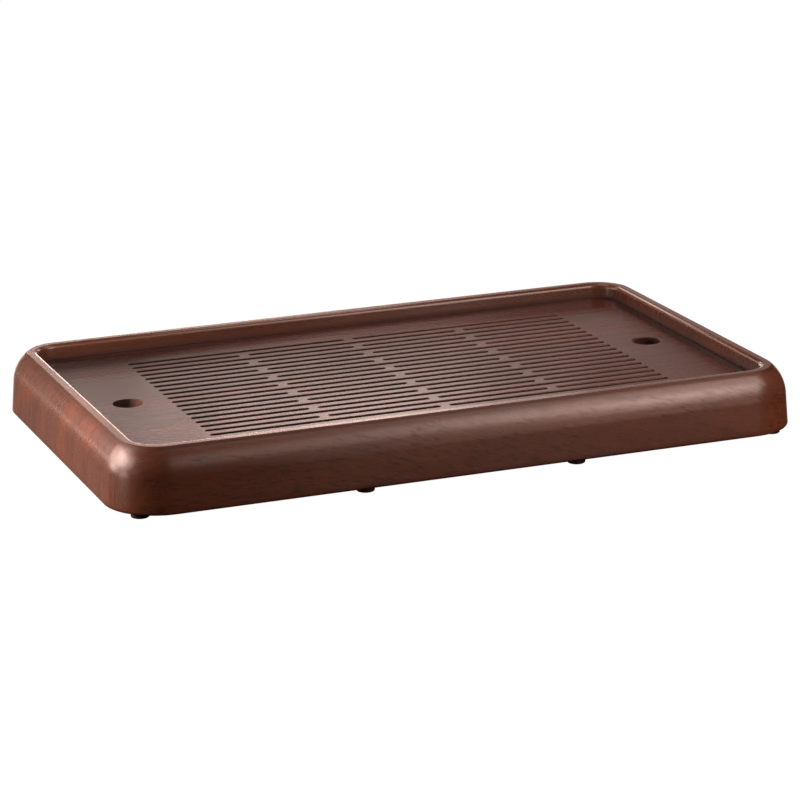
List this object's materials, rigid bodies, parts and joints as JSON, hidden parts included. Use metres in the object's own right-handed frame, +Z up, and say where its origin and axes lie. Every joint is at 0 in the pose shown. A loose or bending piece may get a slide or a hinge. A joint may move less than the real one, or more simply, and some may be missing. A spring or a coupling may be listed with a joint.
{
  "type": "gongfu tea tray",
  "caption": "Low rounded wooden tea tray with a raised rim, a slotted lift-out panel with finger holes, a water pan below and small rubber feet.",
  "frame": {"origin": "on the surface that the feet stand on, under the middle of the tray", "axes": "+X along the tray's long side and the slots, +Y towards the back with the hose notch, +Z up"},
  "size_m": [0.4798, 0.2898, 0.0455],
  "materials": {
    "frame_walnut": "satin lacquered walnut, reddish brown, grain along the long side",
    "panel_walnut": "satin lacquered walnut, straight fine grain along the slots",
    "board_ply": "sealed plywood",
    "pan_black": "fine matt texture",
    "brass": "turned, slightly dulled",
    "stainless": "plain stainless steel",
    "zinc_steel": "zinc plated steel",
    "seal_rubber": "matt",
    "cap_rubber": "soft silicone, satin",
    "foot_rubber": "matt black rubber"
  },
  "bodies": {
    "tray": {"tray_body": "frame_walnut", "base_board": "board_ply", "base_screws": "zinc_steel", "foot_front_1": "foot_rubber", "foot_front_2": "foot_rubber", "foot_front_3": "foot_rubber", "foot_front_4": "foot_rubber", "foot_back_1": "foot_rubber", "foot_back_2": "foot_rubber", "foot_back_3": "foot_rubber", "foot_back_4": "foot_rubber", "foot_washers": "zinc_steel", "foot_screws": "zinc_steel"},
    "pan": {"water_pan": "pan_black", "drain_outlet": "brass", "drain_seal": "seal_rubber", "drain_nut": "brass", "drain_strainer": "stainless"},
    "panel": {"slotted_panel": "panel_walnut", "panel_batten_left": "panel_walnut", "panel_batten_right": "panel_walnut", "batten_screws": "stainless"},
    "stopper": {"drain_stopper": "cap_rubber"}
  },
  "joints": [
    {"name": "pan_lift", "type": "slide", "parent": "tray", "child": "pan", "axis": [0, 0, 1], "range_m": [0, 0.06]},
    {"name": "panel_lift", "type": "slide", "parent": "pan", "child": "panel", "axis": [0, 0, 1], "range_m": [0, 0.06]},
    {"name": "stopper_pull", "type": "slide", "parent": "pan", "child": "stopper", "axis": [0, 1, 0], "range_m": [0, 0.014]}
  ]
}
